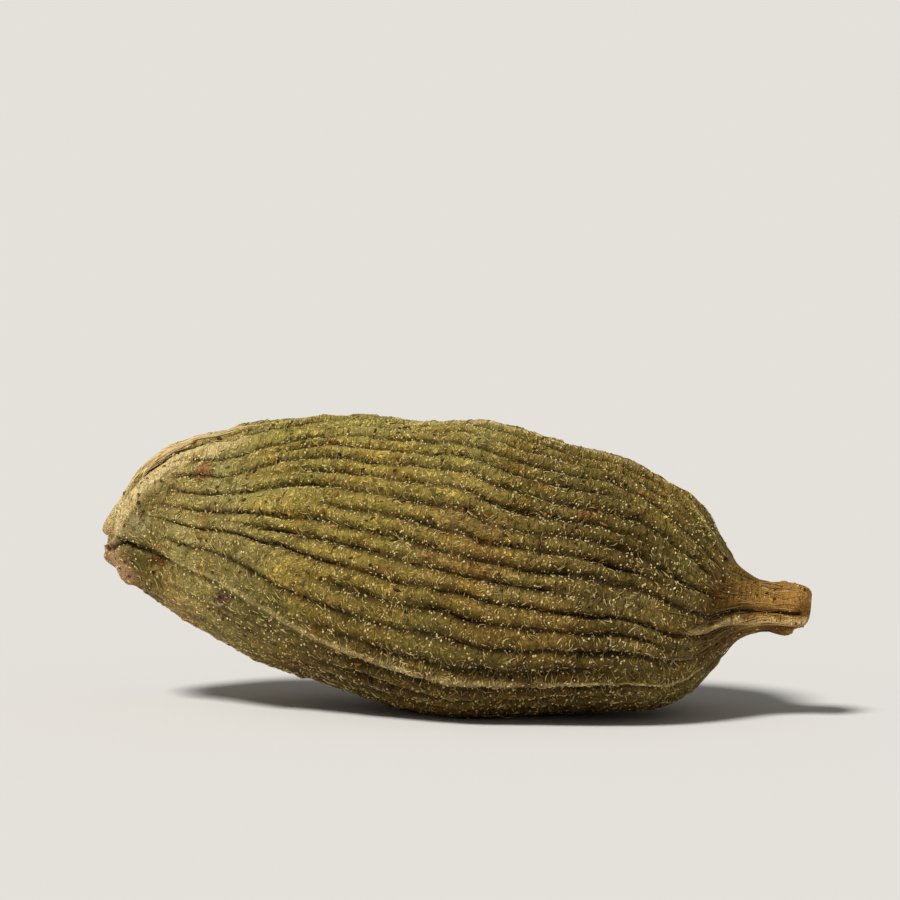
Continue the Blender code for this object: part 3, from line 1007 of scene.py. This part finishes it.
def makeSplitStrands():
    # torn pale layers in the split between the front and back beaks, each beside the others
    draw, count = drawsFor(splitStrands)
    stops = np.array(podForm["folds"]["split"][1])[:, :2]
    start = draw.uniform(*splitStrands["start"], count)[:, None]
    reach = draw.uniform(*splitStrands["reach"], count)[:, None]
    part = np.clip(start + reach * np.linspace(0, 1, splitStrands["steps"]), 0, len(stops) - 1)
    station, angle = np.moveaxis(smoothPath(stops, part), -1, 0)
    aside = draw.normal(*splitStrands["aside"], count)[:, None]
    aside = aside + draw.normal(0, 2, count)[:, None] * np.linspace(-1, 1, splitStrands["steps"])
    rings, columns = ringAt(station), columnAt(station, angle + aside / (0.4 + 0.4 * station))
    radius = draw.uniform(*splitStrands["radius"], count)
    lift = draw.uniform(*splitStrands["lift"], count)
    paths, normals = liftedPaths(rings, columns, lift, radius)
    height = radius * splitStrands["flatness"]
    mesh, perStrand = strandMesh("splitStrands", paths, normals, radius, height)
    straw = np.tile(daylight(huskColours["straw"]), (count, 1))
    colours = over(straw, huskColours["rust"], 0.3 * draw.uniform(0, 1, count) ** 2)
    colours *= draw.uniform(0.75, 1.3, (count, 1))
    dress("splitStrands", mesh, colours, perStrand, fibreMaterial)


scales = {"count": 520, "length": (0.08, 0.3), "radius": (0.02, 0.055), "bend": 4,
          "lift": (0, 0.04), "sink": 0, "flatness": 0.18, "steps": 5, "seed": 9,
          "rusty": 0.6}  # the share that isn't umber


def makeScales():
    # flat curled flakes of brown skin, lifted at the middle
    draw, count = drawsFor(scales)
    ring, column = scatter(draw, count, (0.3 + valleys) * (1 - stripped) * (1 - 0.6 * calm))
    length = draw.uniform(*scales["length"], count)
    heading = draw.uniform(0, np.pi, count)
    mesh, perStrand = layStrands("scales", scales, draw, ring, column, heading, length, 4)
    rust, umber = (daylight(huskColours[name]) for name in ("rust", "umber"))
    own = np.where(draw.random((count, 1)) < scales["rusty"], rust, umber)
    dress("scales", mesh, own * draw.uniform(0.6, 1.5, (count, 1)), perStrand, scaleMaterial)


# the beads are painted brighter than the skin, partly as a painted glint
beads = {"count": 12000, "radius": (0.014, 0.036), "sides": 6, "stretch": 1.3, "seed": 8,
         "glintBrightness": 2.6}  # against the skin


def makeBeads():
    # small resin beads: double cones with rounded middles, half sunk in the skin; their near-white
    # colour is partly their own and partly a painted glint
    draw, count = drawsFor(beads)
    sides = beads["sides"]
    ring, column = scatter(draw, count, (0.4 + 0.6 * valleys) * (1 - 0.6 * stripped))
    centres, normals = onSkin(skin, ring, column), onSkin(skinNormals, ring, column)
    least, most = beads["radius"]
    radius = draw.uniform(0, 1, count) ** 1.8 * (most - least) + least
    sideways = np.cross(normals, (0.3, 0.5, 0.8))
    sideways /= lengths(sideways)[..., None]
    ahead = np.cross(normals, sideways) * beads["stretch"]
    around = (np.arange(sides) * 2 * np.pi / sides)[:, None]
    equator = sideways[:, None] * np.cos(around) + ahead[:, None] * np.sin(around)
    tops = np.stack([-normals, normals], axis=1)
    points = centres[:, None] + np.concatenate([equator, tops], axis=1) * radius[:, None, None]
    fans = endFans(1, sides) + np.arange(count)[:, None, None] * (sides + 2)
    mesh = fillMesh("beads", points.reshape(-1, 3) * millimetre, [], fans)
    # the skin's tints, painted shade included, made brighter and laid under the near-white bead colour:
    # partly the bead's own colour and partly a painted glint
    own = onSkin(tints, ring, column) * beads["glintBrightness"]
    colours = over(own, huskColours["bead"], draw.uniform(0.45, 1, count))
    dress("beads", mesh, colours, sides + 2, beadMaterial)


growth = hairiness()
for name, kind in fibres.items():
    makeFibres(name, kind, growth)
for maker in (makeFringe, makeStalkStrands, makeSplitStrands, makeScales, makeBeads):
    maker()

# a level floor and even light, in the tones of a plain studio
studio = {
    "floorColour": (0.80, 0.777, 0.731),
    "ambient": 0.19,
    "keyLevel": 0.779,  # what the key light adds to a level white surface
    "keyDirection": (-0.364, -0.691, 1.0),
    "keyAngle": 14.0,
    "floorSize": 20.0,  # metres
}


def makeFloor():
    half = studio["floorSize"] / 2
    corners = [(-half, -half, 0), (half, -half, 0), (half, half, 0), (-half, half, 0)]
    material, _, shader = newMaterial("floor", 1.0, 0.0)
    shader.inputs["Base Color"].default_value = (*studio["floorColour"], 1)
    floor = addPiece("floor", fillMesh("floor", np.array(corners), [(0, 1, 2, 3)]), material)


def makeLight():
    towards = Vector(studio["keyDirection"]).normalized()
    data = bpy.data.lights.new("key", "SUN")
    data.energy = studio["keyLevel"] * np.pi / towards.z
    data.angle = np.radians(studio["keyAngle"])
    addFacing("key", data, towards)


def makeWorld():
    # a dim even sky for lighting, which to the eye has the lit floor's own tone
    world = bpy.data.worlds.new("studio")
    bpy.context.scene.world = world
    world.use_nodes = True
    tree = world.node_tree
    tree.nodes.clear()
    seen = np.array(studio["floorColour"]) * (studio["ambient"] + studio["keyLevel"])
    sky = addNode(tree, "ShaderNodeBackground", {"Color": (1, 1, 1, 1), "Strength": studio["ambient"]})
    backdrop = addNode(tree, "ShaderNodeBackground", {"Color": (*seen.tolist(), 1), "Strength": 1.0})
    seenDirectly = addNode(tree, "ShaderNodeLightPath").outputs["Is Camera Ray"]
    inputs = {0: seenDirectly, 1: sky.outputs[0], 2: backdrop.outputs[0]}
    choose = addNode(tree, "ShaderNodeMixShader", inputs)
    addNode(tree, "ShaderNodeOutputWorld", {0: choose.outputs[0]})


makeFloor()
makeLight()
makeWorld()
bpy.context.scene.view_settings.view_transform = "Standard"
print("floor, light and backdrop made")
